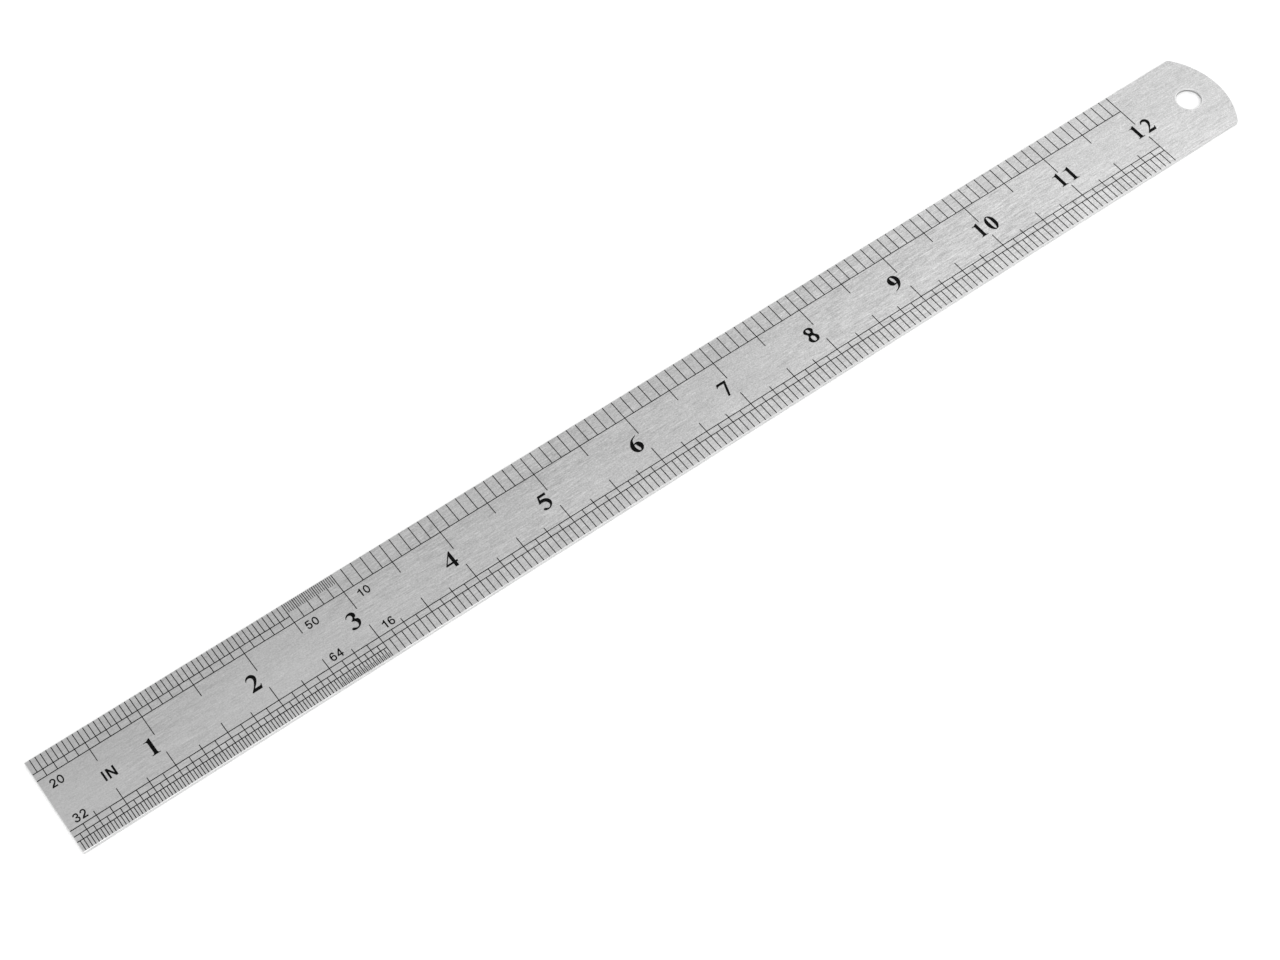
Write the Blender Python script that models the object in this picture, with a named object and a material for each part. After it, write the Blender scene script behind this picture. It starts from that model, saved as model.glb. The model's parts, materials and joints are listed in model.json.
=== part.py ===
# Steel ruler, 12 in, for model making: a stamped strip with a hanging hole and black filled markings.
# Frame: origin under the middle of the blade, on its back face. +X runs from the zero end to the hanging
# hole, +Y to the decimal (upper) scale, +Z out of the marked face. Metres.

from math import atan2, cos, pi, sin, sqrt

import bmesh
import bpy

MM = 0.001
INCH = 25.4 * MM

# Blade
GRADUATED_INCHES = 12
TAIL_LENGTH = 25.4 * MM         # last inch mark to the crown of the hanging end
BLADE_WIDTH = 25.4 * MM
BLADE_THICKNESS = 1.0 * MM
CROWN_RADIUS = 20.0 * MM        # rounded hanging end
CORNER_RADIUS = 1.0 * MM        # where the crown meets the long edges
EDGE_BREAK = 0.1 * MM           # deburring chamfer all round
HOLE_DIAMETER = 6.35 * MM
HOLE_TO_CROWN = 9.1 * MM        # hole's centre to the crown
HOLE_SEGMENTS = 48

# Black marks: a thin film of enamel on the face
FILM_THICKNESS = 0.05 * MM
FILM_CLEARANCE = 0.005 * MM     # between the face and the film
MARK_CLEARANCE = 0.05 * MM      # bare steel between the edge break and a mark
TICK_WIDTH = 0.18 * MM
LINE_WIDTH = 0.17 * MM

# Graduations
FINE_END = 2.5                  # inches: 20ths and 32nds up to here
FINEST_END = 3.0                # inches: 50ths and 64ths from FINE_END to here

# Upper scale, counted inwards from the upper edge
UPPER_LINE_1 = 3.6 * MM         # where the 20ths stop
UPPER_LINE_GAP = 1.9 * MM       # on to line 2, where the tenths stop
UPPER_HALF_REACH = 3.35 * MM    # past line 2
UPPER_INCH_REACH = 5.3 * MM

# Lower scale, counted inwards from the lower edge
LOWER_LINE_A = 2.7 * MM         # where the 32nds stop
LOWER_GAP_AB = 1.45 * MM        # on to line B, where the 16ths stop
LOWER_GAP_BC = 1.6 * MM         # on to line C, where the eighths stop
LOWER_QUARTER_REACH = 1.15 * MM  # past line C
LOWER_HALF_REACH = 2.8 * MM
LOWER_INCH_REACH = 3.9 * MM

# Figures
NUMERAL_HEIGHT = 4.2 * MM
NUMERAL_DROP = 0.15 * MM        # middle of the numerals below the blade's centre line
NUMERAL_GAP = 0.85 * MM         # right side of a single numeral to its inch mark
PAIR_GAP = 1.3 * MM             # between the two figures of 10, 11 and 12
PAIR_SHIFT = 0.5 * MM           # a pair's middle stands this far past its inch mark
LABEL_HEIGHT = 2.1 * MM
LABEL_PITCH = 1.68 * MM
LABEL_SETBACK = 2.05 * MM       # start of a stretch to its label
FINEST_LABEL_SETBACK = 1.5 * MM
UPPER_LABEL_GAP = 1.3 * MM      # upper line 2 to the top of a label
LOWER_LABEL_GAP = 0.9 * MM      # lower line C to the foot of a label
UNIT_HEIGHT = 2.55 * MM
UNIT_CENTRE = 13.3 * MM         # from the zero end
UNIT_SPACING = 0.55 * MM        # between the two letters
UNIT_DROP = 0.18 * MM           # middle of the letters below the blade's centre line

BLADE_LENGTH = GRADUATED_INCHES * INCH + TAIL_LENGTH
ZERO_X = -BLADE_LENGTH / 2
CROWN_X = BLADE_LENGTH / 2
HOLE_X = CROWN_X - HOLE_TO_CROWN
UPPER_EDGE_Y = BLADE_WIDTH / 2
LOWER_EDGE_Y = -BLADE_WIDTH / 2
FILM_Z = BLADE_THICKNESS + FILM_CLEARANCE
MARK_INSET = EDGE_BREAK + MARK_CLEARANCE
UPPER_LINE_2 = UPPER_LINE_1 + UPPER_LINE_GAP
LOWER_LINE_B = LOWER_LINE_A + LOWER_GAP_AB
LOWER_LINE_C = LOWER_LINE_B + LOWER_GAP_BC

# Outlines of the figures, standing on the baseline. A point is (x, y) on a round stretch, or (x, y, 1) at a
# corner. The first contour is the outside and the next ones are holes. Each face has the height that its
# numbers are drawn to, and a figure is scaled from it.
NUMERAL_DRAWN = 4.2
NUMERALS = {
    "0": [
        [
            (1.37, 4.28), (0.35, 3.55), (0, 2.1), (0.35, 0.65), (1.37, -0.08), (2.4, 0.65), (2.75, 2.1),
            (2.4, 3.55),
        ],
        [
            (1.37, 4.05), (1.7, 3.5), (1.8, 2.1), (1.7, 0.7), (1.37, 0.15), (1.05, 0.7), (0.95, 2.1),
            (1.05, 3.5),
        ],
    ],
    "1": [
        [
            (0.2, 0, 1), (2.2, 0, 1), (2.2, 0.12, 1), (1.78, 0.22), (1.65, 0.55, 1), (1.65, 4.2, 1),
            (1.45, 4.2, 1), (0.85, 3.85), (0, 3.72, 1), (0, 3.6, 1), (0.6, 3.6), (0.8, 3.3, 1),
            (0.8, 0.55, 1), (0.64, 0.22), (0.2, 0.12, 1),
        ],
    ],
    "2": [
        [
            (0, 0, 1), (2.45, 0, 1), (2.75, 1.15, 1), (2.62, 1.15, 1), (2.4, 0.84), (2.05, 0.76, 1),
            (0.95, 0.76, 1), (2.05, 1.95), (2.5, 3.1), (2.1, 4.0), (1.35, 4.28), (0.5, 3.95),
            (0.08, 3.2, 1), (0.2, 3.15, 1), (0.62, 3.58), (1.05, 3.68), (1.6, 3.35), (1.68, 2.7),
            (1.3, 1.75), (0.7, 0.9), (0, 0.14, 1),
        ],
    ],
    "3": [
        [
            (0.25, 3.22, 1), (0.65, 3.66), (1.1, 3.78), (1.58, 3.5), (1.62, 2.95), (1.4, 2.5),
            (0.98, 2.24, 1), (1.02, 2.06, 1), (1.6, 1.82), (1.92, 1.25), (1.78, 0.5), (1.3, 0.22),
            (0.8, 0.42), (0.32, 0.64), (0, 0.3), (0.45, -0.02), (1.25, -0.08), (2.3, 0.45), (2.75, 1.4),
            (2.5, 2.12), (1.9, 2.5), (2.35, 2.85), (2.52, 3.4), (2.2, 4.05), (1.45, 4.28), (0.6, 3.98),
            (0.12, 3.3, 1),
        ],
    ],
    "4": [
        [
            (0, 1, 1), (1.82, 1, 1), (1.82, 0, 1), (2.62, 0, 1), (2.62, 1, 1), (3.05, 1, 1), (3.05, 1.45, 1),
            (2.62, 1.45, 1), (2.62, 4.28, 1), (2.4, 4.28, 1), (0, 1.2, 1),
        ],
        [(0.5, 1.45, 1), (1.82, 3.15, 1), (1.82, 1.45, 1)],
    ],
    "5": [
        [
            (0, 2.02, 1), (0.85, 2.14), (1.55, 1.95), (1.98, 1.3), (1.82, 0.52), (1.3, 0.22), (0.85, 0.4),
            (0.35, 0.66), (0.02, 0.34), (0.45, 0), (1.3, -0.08), (2.35, 0.5), (2.78, 1.5), (2.4, 2.4),
            (1.55, 2.88), (0.76, 2.9, 1), (0.92, 3.5, 1), (2.66, 3.5, 1), (2.75, 4.12, 1), (0.68, 4.12, 1),
        ],
    ],
    "6": [
        [
            (2.8, 4.28, 1), (1.35, 3.75), (0.38, 2.75), (0, 1.5), (0.5, 0.28), (1.5, -0.08), (2.55, 0.38),
            (2.95, 1.35), (2.62, 2.25), (1.9, 2.6), (1.16, 2.44, 1), (1.62, 3.45), (2.8, 4.16, 1),
        ],
        [(1.32, 2.25), (1.72, 1.5), (1.9, 0.6), (1.6, 0.18), (1.16, 0.75), (1.02, 1.6)],
    ],
    "7": [
        [
            (0.95, 0, 1), (1.52, 0, 1), (2.85, 3.98, 1), (2.85, 4.12, 1), (0.38, 4.12, 1), (0, 3.1, 1),
            (0.12, 3.06, 1), (0.4, 3.4), (0.8, 3.5, 1), (2.1, 3.5, 1),
        ],
    ],
    "8": [
        [
            (1.42, 4.28), (0.5, 4.0), (0.18, 3.3), (0.72, 2.35), (0, 1.15), (0.45, 0.2), (1.4, -0.08),
            (2.4, 0.22), (2.82, 1.15), (2.2, 2.3), (2.7, 3.3), (2.38, 4.0),
        ],
        [(1.35, 3.96), (1.85, 3.4), (1.55, 2.72), (0.95, 3.35)],
        [(1.3, 1.95), (1.95, 1.05), (1.42, 0.22), (0.85, 1.1)],
    ],
}

PLAIN_DRAWN = 2.1
PLAIN_CELL = 1.36               # width of a plain figure's cell, in the same numbers
PLAIN_FIGURES = {
    "0": [
        [
            (0.68, 2.13), (0.16, 1.75), (0, 1.05), (0.16, 0.35), (0.68, -0.03), (1.2, 0.35), (1.36, 1.05),
            (1.2, 1.75),
        ],
        [
            (0.68, 1.83), (0.98, 1.55), (1.06, 1.05), (0.98, 0.55), (0.68, 0.27), (0.38, 0.55), (0.3, 1.05),
            (0.38, 1.55),
        ],
    ],
    "1": [
        [
            (0.54, 0, 1), (0.86, 0, 1), (0.86, 2.1, 1), (0.6, 2.1, 1), (0.42, 1.78), (0, 1.6, 1), (0, 1.32, 1),
            (0.54, 1.5, 1),
        ],
    ],
    "2": [
        [
            (0, 0, 1), (1.32, 0, 1), (1.32, 0.29, 1), (0.5, 0.29, 1), (1.12, 0.92), (1.3, 1.45), (1.1, 1.95),
            (0.65, 2.13), (0.2, 1.95), (0.02, 1.5, 1), (0.32, 1.46, 1), (0.42, 1.74), (0.66, 1.84), (0.92, 1.72),
            (0.98, 1.42), (0.82, 1.08), (0.3, 0.6), (0, 0.14, 1),
        ],
    ],
    "3": [
        [
            (0, 0.56, 1), (0.22, 0.1), (0.66, -0.03), (1.15, 0.12), (1.34, 0.6), (1.26, 0.92), (1.04, 1.12),
            (1.22, 1.3), (1.28, 1.6), (1.1, 2.0), (0.66, 2.13), (0.24, 2.0), (0.04, 1.62, 1), (0.34, 1.56, 1),
            (0.46, 1.78), (0.66, 1.84), (0.9, 1.76), (0.97, 1.54), (0.86, 1.32), (0.5, 1.24, 1), (0.5, 0.98, 1),
            (0.9, 0.9), (1.03, 0.6), (0.92, 0.34), (0.66, 0.26), (0.42, 0.35), (0.3, 0.6, 1),
        ],
    ],
    "4": [
        [
            (0.8, 0, 1), (1.1, 0, 1), (1.1, 0.48, 1), (1.36, 0.48, 1), (1.36, 0.76, 1), (1.1, 0.76, 1),
            (1.1, 2.1, 1), (0.78, 2.1, 1), (0, 0.76, 1), (0, 0.48, 1), (0.8, 0.48, 1),
        ],
        [(0.34, 0.76, 1), (0.8, 1.56, 1), (0.8, 0.76, 1)],
    ],
    "5": [
        [
            (0.02, 0.55, 1), (0.25, 0.1), (0.64, -0.03), (1.15, 0.18), (1.33, 0.7), (1.15, 1.22), (0.7, 1.4),
            (0.43, 1.33, 1), (0.49, 1.81, 1), (1.22, 1.81, 1), (1.22, 2.1, 1), (0.22, 2.1, 1), (0.06, 0.98, 1),
            (0.34, 0.94, 1), (0.62, 1.12), (0.92, 1.02), (1.02, 0.7), (0.9, 0.36), (0.64, 0.26), (0.42, 0.34),
            (0.33, 0.58, 1),
        ],
    ],
    "6": [
        [
            (1.28, 1.66, 1), (1.1, 2.0), (0.7, 2.13), (0.18, 1.8), (0, 1.0), (0.16, 0.25), (0.68, -0.03),
            (1.17, 0.18), (1.35, 0.68), (1.17, 1.18), (0.72, 1.37), (0.33, 1.2, 1), (0.45, 1.66), (0.7, 1.84),
            (0.9, 1.76), (0.98, 1.6, 1),
        ],
        [
            (0.68, 1.1), (0.95, 0.98), (1.04, 0.68), (0.95, 0.38), (0.68, 0.26), (0.42, 0.38), (0.33, 0.68),
            (0.42, 0.98),
        ],
    ],
    "I": [[(0, 0, 1), (0.37, 0, 1), (0.37, 2.1, 1), (0, 2.1, 1)]],
    "N": [
        [
            (0, 0, 1), (0.37, 0, 1), (0.37, 1.42, 1), (1.24, 0, 1), (1.61, 0, 1), (1.61, 2.1, 1), (1.24, 2.1, 1),
            (1.24, 0.68, 1), (0.37, 2.1, 1), (0, 2.1, 1),
        ],
    ],
}


def half_turn(contours):
    """The figure turned upside down in its own box: a 6 becomes a 9."""
    right = max(point[0] for point in contours[0])
    return [[(right - x, NUMERAL_DRAWN - y, *corner) for x, y, *corner in contour] for contour in contours]


NUMERALS["9"] = half_turn(NUMERALS["6"])


def principled(name, colour, metallic, roughness):
    material = bpy.data.materials.new(name)
    material.use_nodes = True
    shader = material.node_tree.nodes["Principled BSDF"]
    shader.inputs["Base Color"].default_value = (*colour, 1)
    shader.inputs["Metallic"].default_value = metallic
    shader.inputs["Roughness"].default_value = roughness
    return material


def add_object(name, data, material):
    obj = bpy.data.objects.new(name, data)
    bpy.context.scene.collection.objects.link(obj)
    data.materials.append(material)
    return obj


def mesh_object(name, bm, material):
    bmesh.ops.recalc_face_normals(bm, faces=bm.faces)
    mesh = bpy.data.meshes.new(name)
    bm.to_mesh(mesh)
    bm.free()
    return add_object(name, mesh, material)


def extrude_up(bm, height):
    """Turns a flat sheet of faces into a closed slab."""
    made = bmesh.ops.extrude_face_region(bm, geom=bm.faces[:])["geom"]
    top = [item for item in made if isinstance(item, bmesh.types.BMVert)]
    bmesh.ops.translate(bm, verts=top, vec=(0, 0, height))


def arc(centre_x, centre_y, radius, start, end, steps):
    return [
        (centre_x + radius * cos(a), centre_y + radius * sin(a))
        for a in (start + (end - start) * i / steps for i in range(steps + 1))
    ]


def blade_outline():
    """Anticlockwise from the zero end's lower corner: lower edge, corner, crown, corner, upper edge."""
    crown_centre = CROWN_X - CROWN_RADIUS
    corner_y = BLADE_WIDTH / 2 - CORNER_RADIUS
    corner_x = crown_centre + sqrt((CROWN_RADIUS - CORNER_RADIUS) ** 2 - corner_y**2)
    meet = atan2(corner_y, corner_x - crown_centre)
    lower_corner = arc(corner_x, -corner_y, CORNER_RADIUS, -pi / 2, -meet, 5)
    crown = arc(crown_centre, 0, CROWN_RADIUS, -meet, meet, 28)
    upper_corner = arc(corner_x, corner_y, CORNER_RADIUS, meet, pi / 2, 5)
    zero_end = [(ZERO_X, UPPER_EDGE_Y), (ZERO_X, LOWER_EDGE_Y)]
    return lower_corner + crown[1:-1] + upper_corner + zero_end


def hole_cutter():
    bm = bmesh.new()
    radius = HOLE_DIAMETER / 2
    bmesh.ops.create_cone(
        bm, cap_ends=True, segments=HOLE_SEGMENTS, radius1=radius, radius2=radius, depth=3 * BLADE_THICKNESS
    )
    cutter = mesh_object("hanging_hole_cutter", bm, steel)
    cutter.location = (HOLE_X, 0, BLADE_THICKNESS / 2)
    cutter.hide_render = True
    cutter.display_type = "WIRE"
    return cutter


def make_blade():
    bm = bmesh.new()
    bm.faces.new([bm.verts.new((x, y, 0)) for x, y in blade_outline()])
    extrude_up(bm, BLADE_THICKNESS)
    blade = mesh_object("blade", bm, steel)
    hole = blade.modifiers.new("hanging_hole", "BOOLEAN")
    hole.operation = "DIFFERENCE"
    hole.solver = "EXACT"
    hole.object = hole_cutter()
    chamfer = blade.modifiers.new("edge_break", "BEVEL")
    chamfer.width = EDGE_BREAK
    chamfer.segments = 1
    chamfer.limit_method = "ANGLE"
    chamfer.angle_limit = pi / 3
    return blade


def zip_rows(bm, near, far):
    """Fills between two rows of points that both run along +X, taking whichever next point comes first."""
    i = j = 0
    while i < len(near) - 1 or j < len(far) - 1:
        if j == len(far) - 1 or (i < len(near) - 1 and near[i + 1].co.x <= far[j + 1].co.x):
            bm.faces.new((near[i], near[i + 1], far[j]))
            i += 1
        else:
            bm.faces.new((near[i], far[j + 1], far[j]))
            j += 1


def make_scale(name, edge_y, inward, lines, ticks):
    """One connected lattice of marks along an edge.

    lines are (depth, end) pairs: each line starts at the zero end and stops at the tick at end. ticks are
    (x, depth) pairs, x from the zero end: each runs inwards from the edge, through every line that is there.
    """
    bm = bmesh.new()
    points = {}

    def point(x, depth):
        key = (round(x * 1e7), round(depth * 1e7))
        if key not in points:
            points[key] = bm.verts.new((ZERO_X + x, edge_y + inward * depth, 0))
        return points[key]

    def rung(x, start, end):
        left, right = x - TICK_WIDTH / 2, x + TICK_WIDTH / 2
        bm.faces.new((point(left, start), point(right, start), point(right, end), point(left, end)))

    def row(depth, end):
        """Every point so far along one side of a line, with the line's own two ends."""
        point(MARK_INSET, depth)
        point(end + TICK_WIDTH / 2, depth)
        level = round(depth * 1e7)
        return sorted((vert for key, vert in points.items() if key[1] == level), key=lambda vert: vert.co.x)

    for x, depth in ticks:
        start = MARK_INSET
        for line_depth, line_end in lines:
            if x > line_end + TICK_WIDTH / 2 or line_depth > depth + LINE_WIDTH:
                continue
            rung(x, start, line_depth - LINE_WIDTH / 2)
            start = line_depth + LINE_WIDTH / 2
        if depth > start:
            rung(x, start, depth)
    for line_depth, line_end in lines:
        zip_rows(bm, row(line_depth - LINE_WIDTH / 2, line_end), row(line_depth + LINE_WIDTH / 2, line_end))
    extrude_up(bm, FILM_THICKNESS)
    bmesh.ops.translate(bm, verts=bm.verts, vec=(0, 0, FILM_Z))
    return mesh_object(name, bm, enamel)


def upper_ticks():
    """Twentieths up to FINE_END inches, then tenths: (x, depth) pairs."""
    for i in range(1, 20 * GRADUATED_INCHES + 1):
        x = i * INCH / 20
        if i % 20 == 0:
            yield x, UPPER_LINE_2 + UPPER_INCH_REACH
        elif i % 10 == 0:
            yield x, UPPER_LINE_2 + UPPER_HALF_REACH
        elif i % 2 == 0:
            yield x, UPPER_LINE_2
        elif i < 20 * FINE_END:
            yield x, UPPER_LINE_1


def lower_ticks():
    """Thirty-seconds up to FINEST_END inches, then sixteenths: (x, depth) pairs."""
    for i in range(1, 32 * GRADUATED_INCHES + 1):
        x = i * INCH / 32
        if i % 32 == 0:
            yield x, LOWER_LINE_C + LOWER_INCH_REACH
        elif i % 16 == 0:
            yield x, LOWER_LINE_C + LOWER_HALF_REACH
        elif i % 8 == 0:
            yield x, LOWER_LINE_C + LOWER_QUARTER_REACH
        elif i % 4 == 0:
            yield x, LOWER_LINE_C
        elif i % 2 == 0:
            yield x, LOWER_LINE_B
        elif i < 32 * FINEST_END:
            yield x, LOWER_LINE_A


def make_scales():
    full = GRADUATED_INCHES * INCH
    upper_lines = [(UPPER_LINE_1, FINE_END * INCH), (UPPER_LINE_2, full)]
    make_scale("upper_scale", UPPER_EDGE_Y, -1, upper_lines, upper_ticks())
    lower_lines = [(LOWER_LINE_A, FINEST_END * INCH), (LOWER_LINE_B, full), (LOWER_LINE_C, full)]
    make_scale("lower_scale", LOWER_EDGE_Y, 1, lower_lines, lower_ticks())


def drawn_width(contours):
    return max(point[0] for point in contours[0])


def make_figure(name, contours, unit, left, baseline_y, smoothness):
    """One figure: a flat curve outline, filled and raised by the film's thickness. unit scales its numbers."""
    curve = bpy.data.curves.new(name, "CURVE")
    curve.dimensions = "2D"
    curve.fill_mode = "BOTH"
    curve.resolution_u = smoothness
    curve.extrude = FILM_THICKNESS / 2
    for contour in contours:
        spline = curve.splines.new("BEZIER")
        spline.bezier_points.add(len(contour) - 1)
        spline.use_cyclic_u = True
        for knot, (x, y, *corner) in zip(spline.bezier_points, contour):
            knot.co = (x * unit, y * unit, 0)
            knot.handle_left_type = knot.handle_right_type = "VECTOR" if corner else "AUTO"
    figure = add_object(name, curve, enamel)
    figure.location = (left, baseline_y, FILM_Z + FILM_THICKNESS / 2)
    return figure


def make_numerals():
    """1 to 12. A single figure stands left of its inch mark, and the two figures of a pair stand astride it."""
    unit = NUMERAL_HEIGHT / NUMERAL_DRAWN
    baseline_y = -NUMERAL_DROP - NUMERAL_HEIGHT / 2
    for inch in range(1, GRADUATED_INCHES + 1):
        mark_x = ZERO_X + inch * INCH
        widths = [unit * drawn_width(NUMERALS[figure]) for figure in str(inch)]
        if len(widths) == 1:
            names = [f"numeral_{inch}"]
            left = mark_x - NUMERAL_GAP - widths[0]
        else:
            names = [f"numeral_{inch}_tens", f"numeral_{inch}_units"]
            left = mark_x + PAIR_SHIFT - (sum(widths) + PAIR_GAP) / 2
        for name, figure, width in zip(names, str(inch), widths):
            make_figure(name, NUMERALS[figure], unit, left, baseline_y, 3)
            left += width + PAIR_GAP


def make_labels():
    """How many parts the inch has in each stretch, written over the start of the stretch."""
    unit = LABEL_HEIGHT / PLAIN_DRAWN
    upper_y = UPPER_EDGE_Y - UPPER_LINE_2 - UPPER_LABEL_GAP - LABEL_HEIGHT
    lower_y = LOWER_EDGE_Y + LOWER_LINE_C + LOWER_LABEL_GAP
    stretches = [
        ("20", "32", LABEL_SETBACK),
        ("50", "64", FINE_END * INCH + FINEST_LABEL_SETBACK),
        ("10", "16", FINEST_END * INCH + LABEL_SETBACK),
    ]
    for upper, lower, start in stretches:
        for label, baseline_y in ((upper, upper_y), (lower, lower_y)):
            for place, figure in enumerate(label):
                contours = PLAIN_FIGURES[figure]
                margin = (PLAIN_CELL - drawn_width(contours)) / 2 * unit
                name = f"label_{label}_{('tens', 'units')[place]}"
                make_figure(name, contours, unit, ZERO_X + start + place * LABEL_PITCH + margin, baseline_y, 2)


def make_unit_mark():
    """The unit, in two capitals between the zero end and the first inch."""
    unit = UNIT_HEIGHT / PLAIN_DRAWN
    widths = [unit * drawn_width(PLAIN_FIGURES[letter]) for letter in "IN"]
    left = ZERO_X + UNIT_CENTRE - (sum(widths) + UNIT_SPACING) / 2
    baseline_y = -UNIT_DROP - UNIT_HEIGHT / 2
    for letter, width in zip("IN", widths):
        name = f"unit_letter_{letter.lower()}"
        make_figure(name, PLAIN_FIGURES[letter], unit, left, baseline_y, 2)
        left += width + UNIT_SPACING


for leftover in list(bpy.data.objects):
    bpy.data.objects.remove(leftover, do_unlink=True)

steel = principled("brushed_steel", (0.56, 0.57, 0.58), 1.0, 0.35)
enamel = principled("black_enamel", (0.01, 0.01, 0.01), 0.0, 0.45)

make_blade()
make_scales()
make_numerals()
make_labels()
make_unit_mark()
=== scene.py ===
import json
import math

import bmesh
import bpy
import numpy as np
from mathutils import Matrix, Vector


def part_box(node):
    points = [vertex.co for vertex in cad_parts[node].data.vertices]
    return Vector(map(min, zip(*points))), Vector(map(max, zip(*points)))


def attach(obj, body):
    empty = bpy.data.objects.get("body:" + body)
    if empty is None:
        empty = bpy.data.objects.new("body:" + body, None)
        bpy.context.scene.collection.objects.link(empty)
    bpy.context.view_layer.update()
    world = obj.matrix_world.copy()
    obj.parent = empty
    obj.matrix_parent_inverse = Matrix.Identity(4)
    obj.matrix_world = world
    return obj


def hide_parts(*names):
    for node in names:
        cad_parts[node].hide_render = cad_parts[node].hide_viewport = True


# Steel ruler: looks. Lengths in metres unless a name says otherwise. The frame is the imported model's:
# +X from the zero end to the hanging hole, +Y to the upper scale, +Z out of the marked face.

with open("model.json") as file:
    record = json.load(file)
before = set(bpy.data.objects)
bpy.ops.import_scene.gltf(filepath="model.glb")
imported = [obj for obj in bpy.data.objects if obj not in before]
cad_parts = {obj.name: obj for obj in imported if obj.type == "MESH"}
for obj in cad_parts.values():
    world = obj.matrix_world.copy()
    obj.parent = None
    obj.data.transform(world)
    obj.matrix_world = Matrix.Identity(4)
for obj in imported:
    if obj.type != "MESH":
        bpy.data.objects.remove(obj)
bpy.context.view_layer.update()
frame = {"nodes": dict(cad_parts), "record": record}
nodes = frame["nodes"]
mm = 0.001
inch = 0.0254
print("frame loaded:", len(nodes), "nodes")


# Nodes and materials

def addNode(tree, kind, place, **settings):
    node = tree.nodes.new(kind)
    node.location = place
    for name, value in settings.items():
        setattr(node, name, value)
    return node


def join(tree, *pairs):
    for start, end in pairs:
        tree.links.new(start, end)


def mathNode(tree, operation, first, second, place):
    # One sum of two values, each a number or a socket.
    node = addNode(tree, "ShaderNodeMath", place, operation=operation)
    for socket, value in zip(node.inputs, (first, second)):
        if isinstance(value, (int, float)):
            socket.default_value = value
        else:
            tree.links.new(value, socket)
    return node.outputs[0]


def mixColours(tree, factor, dark, light, place):
    # Dark where the factor is 0, light where it is 1.
    node = addNode(tree, "ShaderNodeMix", place, data_type="RGBA")
    node.inputs["A"].default_value = (*dark, 1)
    node.inputs["B"].default_value = (*light, 1)
    tree.links.new(factor, node.inputs["Factor"])
    return node.outputs["Result"]


def newGroup(name, inputs, outputs):
    # An empty node group. inputs are (name, kind, value), outputs are (name, kind).
    group = bpy.data.node_groups.new(name, "ShaderNodeTree")
    for label, kind, value in inputs:
        socket = group.interface.new_socket(name=label, in_out="INPUT", socket_type=kind)
        if value is not None:
            socket.default_value = value
    for label, kind in outputs:
        group.interface.new_socket(name=label, in_out="OUTPUT", socket_type=kind)
    given = addNode(group, "NodeGroupInput", (-1200, 0))
    result = addNode(group, "NodeGroupOutput", (900, 0))
    return group, given, result


# Each noise of the grain: its cells' length and width in millimetres, unless a look gives its own,
# its detail, and the shift that keeps it apart from the others.
grainNoise = {
    "Hairline": {"length": 1.6, "width": 0.12, "detail": 2.0, "shift": 3.1},
    "Streak": {"length": 4.5, "width": 0.4, "detail": 2.0, "shift": 11.7},
    "Cloud": {"length": 26.0, "width": 6.0, "detail": 2.0, "shift": 23.9},
    "Speckle": {"length": 0.35, "width": 0.3, "detail": 1.0, "shift": 57.1},
    "Dash": {"length": 2.6, "width": 0.3, "detail": 0.0, "shift": 41.3},
    "Patch": {"length": 38.0, "width": 30.0, "detail": 1.0, "shift": 71.3},
}
grainStrengths = {"Hairlines": 0.5, "Streaks": 0.5, "Clouds": 0.5, "Speckles": 0.5, "Dashes": 0.3,
                  "Patchiness": 0.5}     # Patchiness: 0 even brushing, 1 bare stretches
grainSteps = {
    "patchEdge": (0.35, 0.65),           # noise that turns a calm stretch into a brushed one
    "lightDash": (0.66, 0.80),           # noise from which a light dash begins, and is full
    "darkDash": (0.34, 0.20),
    "roughness": 0.55,                   # share of each finer octave of noise
    "shiftWays": (1.0, 0.7, 1.3),        # a shift's share along x, y and z
    "middle": 0.5,                       # mean of noise and of tone
}


def stretchedNoise(tree, run, length, width, detail, shift, place):
    # Noise whose cells are length long and width wide, in millimetres, along the run's own x and y.
    # Its scale along each way is the millimetres in a metre divided by the cell's size.
    x, y = place
    mapping = addNode(tree, "ShaderNodeMapping", place, vector_type="POINT")
    mapping.inputs["Location"].default_value = [shift * share for share in grainSteps["shiftWays"]]
    size = addNode(tree, "ShaderNodeCombineXYZ", (x - 200, y - 120))
    inverseLength = mathNode(tree, "DIVIDE", 1 / mm, length, (x - 400, y - 60))
    inverseWidth = mathNode(tree, "DIVIDE", 1 / mm, width, (x - 400, y - 200))
    noise = addNode(tree, "ShaderNodeTexNoise", (x + 200, y), noise_dimensions="3D")
    noise.inputs["Scale"].default_value = 1.0
    noise.inputs["Detail"].default_value = detail
    noise.inputs["Roughness"].default_value = grainSteps["roughness"]
    join(tree, (inverseLength, size.inputs["X"]), (inverseWidth, size.inputs["Y"]),
         (inverseWidth, size.inputs["Z"]), (size.outputs[0], mapping.inputs["Scale"]),
         (run, mapping.inputs["Vector"]), (mapping.outputs[0], noise.inputs["Vector"]))
    return noise.outputs["Fac"]


def stepBetween(tree, value, start, end, place):
    # 0 up to start, 1 from end on, and straight between them.
    ramp = addNode(tree, "ShaderNodeMapRange", place, clamp=True)
    ramp.inputs["From Min"].default_value = start
    ramp.inputs["From Max"].default_value = end
    tree.links.new(value, ramp.inputs["Value"])
    return ramp.outputs[0]


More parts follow.
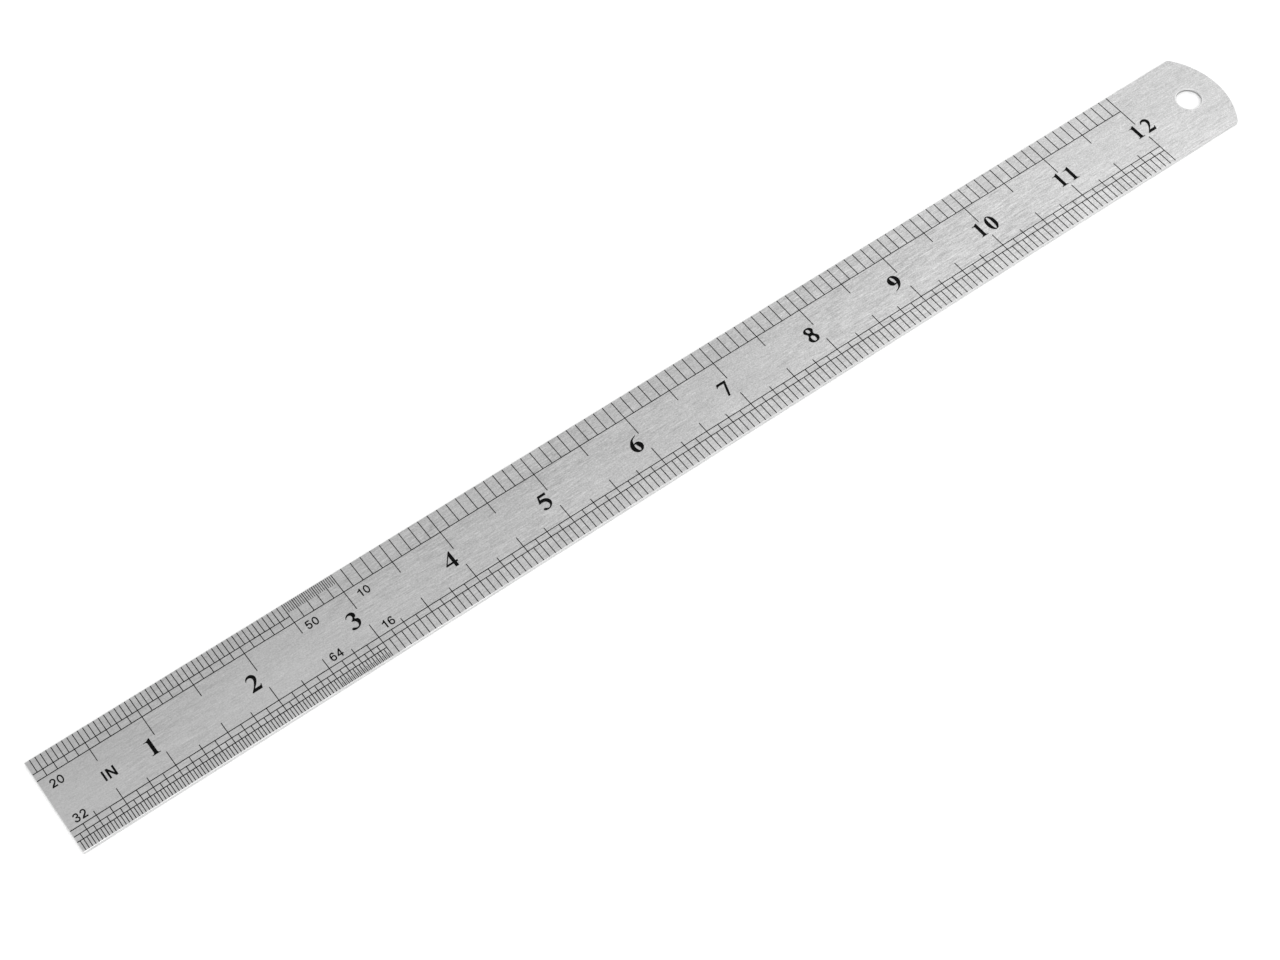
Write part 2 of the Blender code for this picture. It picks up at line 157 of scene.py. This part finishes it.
def makeBrushedGrain():
    # Rolled and brushed grain. Tone is the middle, plus each of four layers' noise less the middle times its
    # strength, plus the light dashes less the dark ones. Height is the sum of hairlines and streaks.
    # Brushing comes and goes along the run: a calm patch takes its patchiness off hairlines and streaks.
    sizes = [(label + " " + side, "NodeSocketFloat", values[side])
             for label, values in grainNoise.items() for side in ("length", "width")]
    strengths = [(label, "NodeSocketFloat", value) for label, value in grainStrengths.items()]
    group, given, result = newGroup(
        "brushedGrain", [("Run", "NodeSocketVector", None)] + sizes + strengths,
        [("Tone", "NodeSocketFloat"), ("Height", "NodeSocketFloat")])
    rowHeights = {label: 900 - 350 * row for row, label in enumerate(grainNoise)}
    middle = grainSteps["middle"]

    def noiseOf(label):
        return stretchedNoise(group, given.outputs["Run"], given.outputs[label + " length"],
                              given.outputs[label + " width"], grainNoise[label]["detail"],
                              grainNoise[label]["shift"], (-500, rowHeights[label]))

    patch = stepBetween(group, noiseOf("Patch"), *grainSteps["patchEdge"], (0, -850))
    calm = mathNode(group, "MULTIPLY", mathNode(group, "SUBTRACT", 1.0, patch, (150, -850)),
                    given.outputs["Patchiness"], (300, -850))
    brushing = mathNode(group, "SUBTRACT", 1.0, calm, (450, -850))
    tone, height = middle, 0.0
    for label in ("Hairline", "Streak", "Cloud", "Speckle"):
        level = rowHeights[label]
        layer = mathNode(group, "SUBTRACT", noiseOf(label), middle, (0, level))
        if label in ("Hairline", "Streak"):
            layer = mathNode(group, "MULTIPLY", layer, brushing, (150, level))
            height = mathNode(group, "ADD", layer, height, (300, level - 150))
        part = mathNode(group, "MULTIPLY", layer, given.outputs[label + "s"], (300, level))
        tone = mathNode(group, "ADD", part, tone, (450, level))
    dashNoise = noiseOf("Dash")
    lightDash = stepBetween(group, dashNoise, *grainSteps["lightDash"], (0, -500))
    darkDash = stepBetween(group, dashNoise, *grainSteps["darkDash"], (0, -650))
    dash = mathNode(group, "SUBTRACT", lightDash, darkDash, (300, -550))
    dashTone = mathNode(group, "MULTIPLY", dash, given.outputs["Dashes"], (450, -550))
    tone = mathNode(group, "ADD", dashTone, tone, (600, 0))
    join(group, (tone, result.inputs["Tone"]), (height, result.inputs["Height"]))
    return group


brushedGrain = makeBrushedGrain()


def newMaterial(name):
    # A material with nodes: its node tree and its Principled shader too.
    material = bpy.data.materials.new(name)
    material.use_nodes = True
    return material, material.node_tree, material.node_tree.nodes["Principled BSDF"]


def addGrain(tree, run, look):
    # The grain along a run, with the look's own sizes and strengths.
    grain = addNode(tree, "ShaderNodeGroup", (-650, 0), node_tree=brushedGrain)
    for label, value in look["grain"].items():
        grain.inputs[label].default_value = value
    tree.links.new(run, grain.inputs["Run"])
    return grain


def wearGrain(tree, shader, grain, tone, look):
    # Colour follows the tone, and gloss and fine relief follow the grain itself.
    colour = mixColours(tree, tone, look["darkest"], look["lightest"], (-350, 200))
    gloss = addNode(tree, "ShaderNodeMapRange", (-350, -50))
    gloss.inputs["To Min"].default_value = look["roughest"]
    gloss.inputs["To Max"].default_value = look["smoothest"]
    bump = addNode(tree, "ShaderNodeBump", (-350, -350))
    bump.inputs["Strength"].default_value = look["relief"]
    bump.inputs["Distance"].default_value = look["reliefDepth"]
    join(tree, (colour, shader.inputs["Base Color"]), (grain.outputs["Tone"], gloss.inputs["Value"]),
         (gloss.outputs[0], shader.inputs["Roughness"]), (grain.outputs["Height"], bump.inputs["Height"]),
         (bump.outputs[0], shader.inputs["Normal"]))


def toneWithPaintedSheen(tree, run, grain, look):
    # The face's slow changes. Brushing is times a share that rises along x from the zero end. To the tone is
    # added a painted sheen, lighter towards the lower edge: its strength times the distance below the centre
    # line over its reach.
    ways = addNode(tree, "ShaderNodeSeparateXYZ", (-1300, 250))
    share = addNode(tree, "ShaderNodeMapRange", (-1100, 100), clamp=True)
    share.inputs["From Min"].default_value = look["calmFrom"]
    share.inputs["From Max"].default_value = look["calmTo"]
    share.inputs["To Min"].default_value = look["calm"]
    join(tree, (run, ways.inputs[0]), (ways.outputs["X"], share.inputs["Value"]))
    for label in ("Hairlines", "Streaks", "Speckles", "Dashes"):
        strength = mathNode(tree, "MULTIPLY", share.outputs[0], look["grain"][label], (-900, 100))
        tree.links.new(strength, grain.inputs[label])
    paintedSheenSlope = mathNode(tree, "MULTIPLY", ways.outputs["Y"], -look["paintedSheen"] / look["paintedSheenReach"], (-700, 250))
    return mathNode(tree, "ADD", grain.outputs["Tone"], paintedSheenSlope, (-500, 250))


def steelMaterial(name, look):
    # Bare stainless steel brushed along the piece's own run: tone, gloss and fine relief share one grain.
    material, tree, shader = newMaterial(name)
    shader.inputs["Metallic"].default_value = 1.0
    shader.inputs["Anisotropic"].default_value = look["anisotropy"]
    run = addNode(tree, "ShaderNodeUVMap", (-900, 0), uv_map="grainRun").outputs[0]
    grain = addGrain(tree, run, look)
    # A look with a painted sheen adds it to the tone, lighter towards the lower edge.
    tone = toneWithPaintedSheen(tree, run, grain, look) if "paintedSheen" in look else grain.outputs["Tone"]
    wearGrain(tree, shader, grain, tone, look)
    tangent = addNode(tree, "ShaderNodeTangent", (-350, -550), direction_type="UV_MAP", uv_map="grainRun")
    tree.links.new(tangent.outputs[0], shader.inputs["Tangent"])
    return material


faceSteel = {
    "darkest": (0.225, 0.225, 0.225), "lightest": (0.672, 0.672, 0.672),
    "roughest": 0.44, "smoothest": 0.30, "anisotropy": 0.45,
    "relief": 0.12, "reliefDepth": 0.02 * mm,
    "paintedSheen": 0.07, "paintedSheenReach": 12.7 * mm,    # painted sheen: tone added at the lower edge, and its distance from the middle
    "calm": 0.55,                            # brushing's share at the zero end, rising to 1
    "calmFrom": -165 * mm, "calmTo": -30 * mm,
    "grain": {"Hairlines": 0.6, "Streaks": 0.75, "Clouds": 0.2, "Speckles": 0.7, "Dashes": 0.14,
              "Patchiness": 0.7},
}
# Edges and the hole's rim: a ground finish, coloured lighter than the face partly as a painted highlight
# along the edges.
edgeSteelWithPaintedHighlight = {
    "darkest": (0.46, 0.46, 0.46), "lightest": (0.84, 0.84, 0.84),
    "roughest": 0.44, "smoothest": 0.26, "anisotropy": 0.3,
    "relief": 0.2, "reliefDepth": 0.02 * mm,
    "grain": {"Hairline length": 2.0, "Hairline width": 0.06, "Streak length": 5.0, "Streak width": 0.2,
              "Hairlines": 0.5, "Streaks": 0.6, "Clouds": 0.4, "Speckles": 0.3, "Dashes": 0.3,
              "Patchiness": 0.3},
}
# The hole's punched wall: rough fracture steel, coloured darker than the rim partly as painted shade inside
# the hole.
punchedSteelWithPaintedShade = {
    "darkest": (0.16, 0.16, 0.16), "lightest": (0.50, 0.50, 0.50),
    "roughest": 0.60, "smoothest": 0.38, "anisotropy": 0.0,
    "relief": 0.3, "reliefDepth": 0.03 * mm,
    "grain": {"Hairline length": 0.08, "Hairline width": 0.4, "Streak length": 0.2, "Streak width": 1.2,
              "Hairlines": 0.5, "Streaks": 0.6, "Clouds": 0.2, "Speckles": 0.4, "Dashes": 0.2,
              "Patchiness": 0.2},
}
brushedFaceWithPaintedSheen = steelMaterial("brushedFaceWithPaintedSheen", faceSteel)
groundEdgeWithPaintedHighlight = steelMaterial("groundEdgeWithPaintedHighlight", edgeSteelWithPaintedHighlight)
punchedWallWithPaintedShade = steelMaterial("punchedWallWithPaintedShade", punchedSteelWithPaintedShade)


def enamelMaterial(name, look):
    # Black paint filled into the marks: nearly matt, with a soft mottle in its gloss and depth.
    material, tree, shader = newMaterial(name)
    shader.inputs["Specular IOR Level"].default_value = look["specular"]
    place = addNode(tree, "ShaderNodeTexCoord", (-900, 0))
    grain = addGrain(tree, place.outputs["Object"], look)
    wearGrain(tree, shader, grain, grain.outputs["Tone"], look)
    return material


enamelLook = {
    "darkest": (0.0002, 0.0002, 0.0002), "lightest": (0.004, 0.004, 0.0042),
    "roughest": 0.62, "smoothest": 0.38, "specular": 0.04,
    "relief": 0.15, "reliefDepth": 0.01 * mm,
    "grain": {"Hairline length": 1.2, "Hairline width": 0.08, "Streak length": 1.6, "Streak width": 0.3,
              "Cloud length": 6.0, "Cloud width": 3.0, "Hairlines": 0.4, "Streaks": 0.5, "Clouds": 0.5,
              "Speckles": 0.3, "Dashes": 0.2, "Patchiness": 0.2},
}
blackEnamel = enamelMaterial("blackEnamel", enamelLook)
print("materials made")


# Meshes

def addPiece(name, points, faces, materials, faceMaterial=None, faceRuns=None):
    # One mesh object from arrays. faceRuns holds each face corner's grain coordinates.
    mesh = bpy.data.meshes.new(name)
    mesh.from_pydata(points.tolist(), [], faces.tolist())
    for material in materials:
        mesh.materials.append(material)
    if faceMaterial is not None:
        mesh.polygons.foreach_set("material_index", faceMaterial.astype(np.int32))
    if faceRuns is not None:
        layer = mesh.uv_layers.new(name="grainRun")
        layer.uv.foreach_set("vector", faceRuns.astype(np.float32).ravel())
    mesh.update()
    piece = bpy.data.objects.new(name, mesh)
    bpy.context.scene.collection.objects.link(piece)
    return piece


def gridFaces(rows, columns, closed=False):
    # Quads of a grid of rows by columns points, counted row by row. closed joins the last row to the first.
    row = np.arange(rows if closed else rows - 1)[:, None]
    column = np.arange(columns - 1)[None, :]
    after = (row + 1) % rows
    corners = (row * columns + column, after * columns + column,
               after * columns + column + 1, row * columns + column + 1)
    shape = (len(row), columns - 1)
    return np.stack([np.broadcast_to(corner, shape) for corner in corners], -1).reshape(-1, 4)


bladeShape = {
    "crownRadius": 20.0 * mm,       # rounded hanging end
    "cornerRadius": 1.0 * mm,       # where the crown meets the long edges
    "nickRadius": 0.18 * mm,        # plan rounding of the zero end's two corners
    "edgeRadius": 0.10 * mm,        # broken edge all round
    "rimRadius": 0.26 * mm,         # rounded rim of the hanging hole
    "flatMargin": 0.04 * mm,        # first strip of true flat inside a broken edge
    "columnStep": 2.5 * mm,
    "rows": 24,
    "cornerSteps": 10,
    "crownSteps": 28,
    "roundSteps": 5,
    "patchLength": 11.0 * mm,       # hole's centre back to where the ring of faces round it starts
    "patchRings": 5,
    "patchCrowding": 1.4,           # power that draws the rings in towards the hole, 1 for even ones
    "holeDiameter": 6.35 * mm,
}
weldDistance = 0.001 * mm
bladeLow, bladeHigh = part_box("blade")
halfWidth = (bladeHigh.y - bladeLow.y) / 2
thickness = bladeHigh.z - bladeLow.z
openings = frame["record"]["physics"]["openings"]
hangingHole = next(opening for opening in openings if opening["name"] == "hanging_hole")
holeX = sum(corner[0] for corner in hangingHole["box_m"]) / 2


def lowerPath(look):
    # Half the outline, from the zero end along the lower edge to the crown's tip: points and outward normals.
    # Four stretches joined: an arc round the zero end's corner, the straight edge, an arc round the hanging
    # end's corner and the crown's arc. A point on an arc is its centre plus the radius along the normal.
    nick, corner, crown = look["nickRadius"], look["cornerRadius"], look["crownRadius"]
    crownCentre = bladeHigh.x - crown
    cornerY = halfWidth - corner
    cornerX = crownCentre + math.sqrt((crown - corner) ** 2 - cornerY**2)
    meet = math.atan2(cornerY, cornerX - crownCentre)
    patchX = holeX - look["patchLength"]
    startX = bladeLow.x + nick
    down = -math.pi / 2
    before = np.linspace(startX, patchX, round((patchX - startX) / look["columnStep"]) + 1)
    past = np.linspace(patchX, cornerX, max(2, round((cornerX - patchX) / (look["columnStep"] / 2))) + 1)
    straight = np.concatenate([before, past[1:]])
    angles = [np.linspace(-math.pi, down, look["roundSteps"] + 2),
              np.full(len(straight) - 2, down),
              np.linspace(down, -meet, look["cornerSteps"]),
              np.linspace(-meet, 0, look["crownSteps"])[1:]]
    centres = [np.tile((startX, -halfWidth + nick), (len(angles[0]), 1)),
               np.stack([straight[1:-1], np.full(len(straight) - 2, -halfWidth)], 1),
               np.tile((cornerX, -cornerY), (len(angles[2]), 1)),
               np.tile((crownCentre, 0), (len(angles[3]), 1))]
    radii = np.repeat([nick, 0, corner, crown], [len(part) for part in angles])
    normals = np.stack([np.cos(np.concatenate(angles)), np.sin(np.concatenate(angles))], 1)
    points = np.concatenate(centres) + normals * radii[:, None]
    patchStart = len(angles[0]) + len(before) - 2
    return points, normals, patchStart


def roundedEdge(height, radius, steps, margin):
    # A broken edge's section from the upper flat down the wall to the lower flat: (inset, height) rows.
    # Each corner is a quarter circle, and the first and last rows lie a margin inside the flat.
    turn = np.linspace(0, math.pi / 2, steps + 1)
    inset, drop = radius * (1 - np.sin(turn)), radius * (1 - np.cos(turn))
    upper = np.stack([inset, height - drop], 1)
    lower = np.stack([inset[::-1], drop[::-1]], 1)
    return np.concatenate([[(radius + margin, height)], upper, lower, [(radius + margin, 0)]])


def bandAlong(points, normals, section):
    # The section carried along a closed path: each point moves against its normal by the row's inset.
    # The run's x is the way along the path and its y the way down the section.
    plan = points[:, None] - normals[:, None] * section[None, :, :1]
    places = np.concatenate([plan, np.broadcast_to(section[None, :, 1:], (*plan.shape[:2], 1))], 2)
    steps = np.linalg.norm(np.diff(points, axis=0, append=points[:1]), axis=1)
    along = np.concatenate([[0], np.cumsum(steps)])
    down = np.concatenate([[0], np.cumsum(np.linalg.norm(np.diff(section, axis=0), axis=1))])
    rows, columns = len(points), len(section)
    faces = gridFaces(rows, columns, closed=True)
    runs = np.stack(np.broadcast_arrays(along[:, None], down[None, :]), -1)
    row, column = np.divmod(np.arange(rows * (columns - 1)), columns - 1)
    corners = [(row, column), (row + 1, column), (row + 1, column + 1), (row, column + 1)]
    return places.reshape(-1, 3), faces, np.stack([runs[corner] for corner in corners], 1)


def makeBlade(look):
    half, halfNormals, patchStart = lowerPath(look)
    mirror = np.array([1, -1])
    rows = look["rows"]
    endFace = np.linspace(half[0], half[0] * mirror, rows + 1)     # up the zero end
    upper, upperNormals = half[::-1] * mirror, halfNormals[::-1] * mirror
    points = np.concatenate([half, upper[1:], endFace[::-1][1:-1]])
    normals = np.concatenate([halfNormals, upperNormals[1:], np.tile((-1.0, 0.0), (rows - 1, 1))])
    section = roundedEdge(thickness, look["edgeRadius"], look["roundSteps"], look["flatMargin"])
    outer = bandAlong(points, normals, section)

    # The flat inside the margin: a strip of straight ribs, then a ring of faces about the hole
    inset = half - halfNormals * section[0, 0]
    spread = np.linspace(-1, 1, rows + 1)
    strip = inset[:patchStart + 1]
    ribs = np.stack([np.broadcast_to(strip[:, :1], (len(strip), rows + 1)), strip[:, 1:] * -spread], -1)
    tipHalf = inset[patchStart:]
    edgeLoop = np.concatenate([tipHalf, tipHalf[::-1][1:] * mirror, ribs[-1][::-1][1:-1]])
    away = edgeLoop - (holeX, 0)
    around = np.arctan2(away[:, 1], away[:, 0])
    ray = np.stack([np.cos(around), np.sin(around)], 1)
    holeRadius = look["holeDiameter"] / 2
    rimSection = roundedEdge(thickness, look["rimRadius"], look["roundSteps"], look["flatMargin"])
    hole = bandAlong((holeX, 0) + ray * holeRadius, -ray, rimSection)
    rimLoop = (holeX, 0) + ray * (holeRadius + rimSection[0, 0])
    share = np.linspace(0, 1, look["patchRings"] + 1)[None, :, None] ** look["patchCrowding"]
    ring = rimLoop[:, None] * (1 - share) + edgeLoop[:, None] * share
    flats = [(ribs.reshape(-1, 2), gridFaces(len(strip), rows + 1)),
             (ring.reshape(-1, 2), gridFaces(len(edgeLoop), look["patchRings"] + 1, closed=True))]

    holeColumns = np.arange(len(rimSection) - 1)
    holeFinishAndShade = np.where(holeColumns == len(holeColumns) // 2, 2, 1)      # the wall is the middle strip: darker punched steel, partly painted shade inside the hole
    parts = [(*outer, 1), (*hole, np.tile(holeFinishAndShade, len(ray)))]
    for height in (thickness, 0):
        for plan, faces in flats:
            places = np.concatenate([plan, np.full((len(plan), 1), height)], 1)
            parts.append((places, faces, plan[faces], 0))
    starts = np.cumsum([0] + [len(part[0]) for part in parts])[:-1]
    blade = addPiece("ruler_blade", np.concatenate([part[0] for part in parts]),
                     np.concatenate([part[1] + start for part, start in zip(parts, starts)]),
                     [brushedFaceWithPaintedSheen, groundEdgeWithPaintedHighlight, punchedWallWithPaintedShade],
                     np.concatenate([np.broadcast_to(part[3], len(part[1])) for part in parts]),
                     np.concatenate([part[2].reshape(-1, 2) for part in parts]))
    weld(blade)
    return blade


def weld(piece):
    # Merges doubled points, turns every face outwards and smooths the shading.
    solid = bmesh.new()
    solid.from_mesh(piece.data)
    bmesh.ops.remove_doubles(solid, verts=solid.verts, dist=weldDistance)
    bmesh.ops.recalc_face_normals(solid, faces=solid.faces)
    solid.to_mesh(piece.data)
    solid.free()
    piece.data.polygons.foreach_set("use_smooth", np.ones(len(piece.data.polygons), bool))


rulerBlade = makeBlade(bladeShape)
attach(rulerBlade, "root")
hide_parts("blade")
print("blade made:", len(rulerBlade.data.polygons), "faces")


# Marks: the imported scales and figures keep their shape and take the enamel

for name, node in nodes.items():
    if name != "blade":
        for slot in node.material_slots:
            slot.material = blackEnamel

# Each depth is measured in from the blade's own long edge. A count that the skip divides has a longer tick.
fineTicks = {
    "firstInch": 2.5, "lastInch": 3.0, "height": 0.015 * mm,
    "upperParts": 50, "upperSkip": 5, "upperDepth": 2.7 * mm, "upperWidth": 0.15 * mm,
    "lowerParts": 64, "lowerSkip": 2, "lowerDepth": 1.45 * mm, "lowerWidth": 0.12 * mm,
}
upperBox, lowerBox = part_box("upper_scale"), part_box("lower_scale")
cube = np.array([(x, y, z) for x in (0, 1) for y in (0, 1) for z in (0, 1)], float)
cubeFaces = np.array([(0, 1, 3, 2), (4, 6, 7, 5), (0, 4, 5, 1), (2, 3, 7, 6), (0, 2, 6, 4), (1, 5, 7, 3)])


def tickRow(name, inches, outerY, innerY, width):
    # A row of separate bars: every bar is the unit cube stretched between its two opposite corners.
    middle = bladeLow.x + inches * inch
    low = (min(outerY, innerY), upperBox[0].z)
    high = (max(outerY, innerY), upperBox[0].z + fineTicks["height"])
    first = np.column_stack([middle - width / 2, np.tile(low, (len(middle), 1))])
    last = np.column_stack([middle + width / 2, np.tile(high, (len(middle), 1))])
    points = first[:, None] + cube * (last - first)[:, None]
    faces = cubeFaces + 8 * np.arange(len(middle))[:, None, None]
    ticks = addPiece(name, points.reshape(-1, 3), faces.reshape(-1, 4), [blackEnamel])
    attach(ticks, "root")


def inchesBetween(look, parts, skip):
    # Where the stretch's short ticks stand, in inches: each count that the skip doesn't divide, over parts.
    count = np.arange(math.ceil(look["firstInch"] * parts), math.floor(look["lastInch"] * parts) + 1)
    return count[count % skip != 0] / parts


fiftieths = inchesBetween(fineTicks, fineTicks["upperParts"], fineTicks["upperSkip"])
tickRow("upper_ticks_50ths", fiftieths, upperBox[1].y, bladeHigh.y - fineTicks["upperDepth"],
        fineTicks["upperWidth"])
sixtyFourths = inchesBetween(fineTicks, fineTicks["lowerParts"], fineTicks["lowerSkip"])
tickRow("lower_ticks_64ths", sixtyFourths, lowerBox[0].y, bladeLow.y + fineTicks["lowerDepth"],
        fineTicks["lowerWidth"])
print("marks made:", len(fiftieths), "fiftieths and", len(sixtyFourths), "sixty-fourths")


# Floor, light and camera

floorLook = {
    "size": 3.0, "drop": 0.02 * mm, "opensWithin": 0.3 * mm,
    "colour": (0.93, 0.93, 0.93), "roughness": 0.9, "specular": 0.1,
}


def makeFloor(look):
    half = look["size"] / 2
    corners = np.array([(-half, -half, -look["drop"]), (half, -half, -look["drop"]),
                        (half, half, -look["drop"]), (-half, half, -look["drop"])])
    material, tree, shader = newMaterial("paleFloor")
    shader.inputs["Base Color"].default_value = (*look["colour"], 1)
    shader.inputs["Roughness"].default_value = look["roughness"]
    shader.inputs["Specular IOR Level"].default_value = look["specular"]
    unseen = addNode(tree, "ShaderNodeBsdfTransparent", (0, -300))
    # Seen from below it isn't there, and it lets through what leaves the blade's back just above it
    side = addNode(tree, "ShaderNodeNewGeometry", (-300, 300))
    path = addNode(tree, "ShaderNodeLightPath", (-500, 100))
    near = mathNode(tree, "LESS_THAN", path.outputs["Ray Length"], look["opensWithin"], (-300, 100))
    either = mathNode(tree, "MAXIMUM", side.outputs["Backfacing"], near, (-100, 200))
    choose = addNode(tree, "ShaderNodeMixShader", (200, 100))
    join(tree, (either, choose.inputs[0]), (shader.outputs[0], choose.inputs[1]),
         (unseen.outputs[0], choose.inputs[2]), (choose.outputs[0], tree.nodes["Material Output"].inputs[0]))
    floor = addPiece("floor", corners, np.array([(0, 1, 2, 3)]), [material])


makeFloor(floorLook)

light = {
    "sky": 1.0,
    "panels": [
        {"name": "keyPanel", "place": (1.35, 0.55, 1.15), "size": 1.6, "power": 4.6},
        {"name": "fillPanel", "place": (-0.2, -1.3, 1.45), "size": 1.6, "power": 14.0},
    ],
}


def makeLight(look):
    world = bpy.data.worlds.new("studio")
    bpy.context.scene.world = world
    world.use_nodes = True
    world.node_tree.nodes["Background"].inputs["Color"].default_value = (1, 1, 1, 1)
    world.node_tree.nodes["Background"].inputs["Strength"].default_value = look["sky"]
    for panel in look["panels"]:
        lamp = bpy.data.lights.new(panel["name"], "AREA")
        lamp.shape = "DISK"
        lamp.size = panel["size"]
        lamp.energy = panel["power"]
        holder = bpy.data.objects.new(panel["name"], lamp)
        holder.location = panel["place"]
        holder.rotation_euler = Vector(panel["place"]).to_track_quat("Z", "Y").to_euler()
        bpy.context.scene.collection.objects.link(holder)


makeLight(light)

view = {
    "place": (-187.02 * mm, -248.10 * mm, 456.43 * mm),
    "aim": (-19.94 * mm, -8.47 * mm, 1.11 * mm),
    "roll": -1.803,                 # degrees
    "lens": 67.74, "sensor": 36.0,  # millimetres
    "nearest": 0.01, "farthest": 20.0,
}


def makeCamera(look):
    # The axes: forward to the aim, right level with the floor, and both turned about forward by the roll.
    camera = bpy.data.cameras.new("camera")
    camera.lens = look["lens"]
    camera.sensor_width = look["sensor"]
    camera.clip_start, camera.clip_end = look["nearest"], look["farthest"]
    place = Vector(look["place"])
    forward = (Vector(look["aim"]) - place).normalized()
    level = forward.cross(Vector((0, 0, 1))).normalized()
    turn = Matrix.Rotation(math.radians(look["roll"]), 3, -forward)
    right = turn @ level
    axes = Matrix((right, right.cross(forward), -forward)).transposed()
    holder = bpy.data.objects.new("camera", camera)
    holder.matrix_world = Matrix.Translation(place) @ axes.to_4x4()
    bpy.context.scene.collection.objects.link(holder)
    bpy.context.scene.camera = holder


makeCamera(view)
bpy.context.scene.view_settings.view_transform = "Standard"
print("floor, light and camera made")
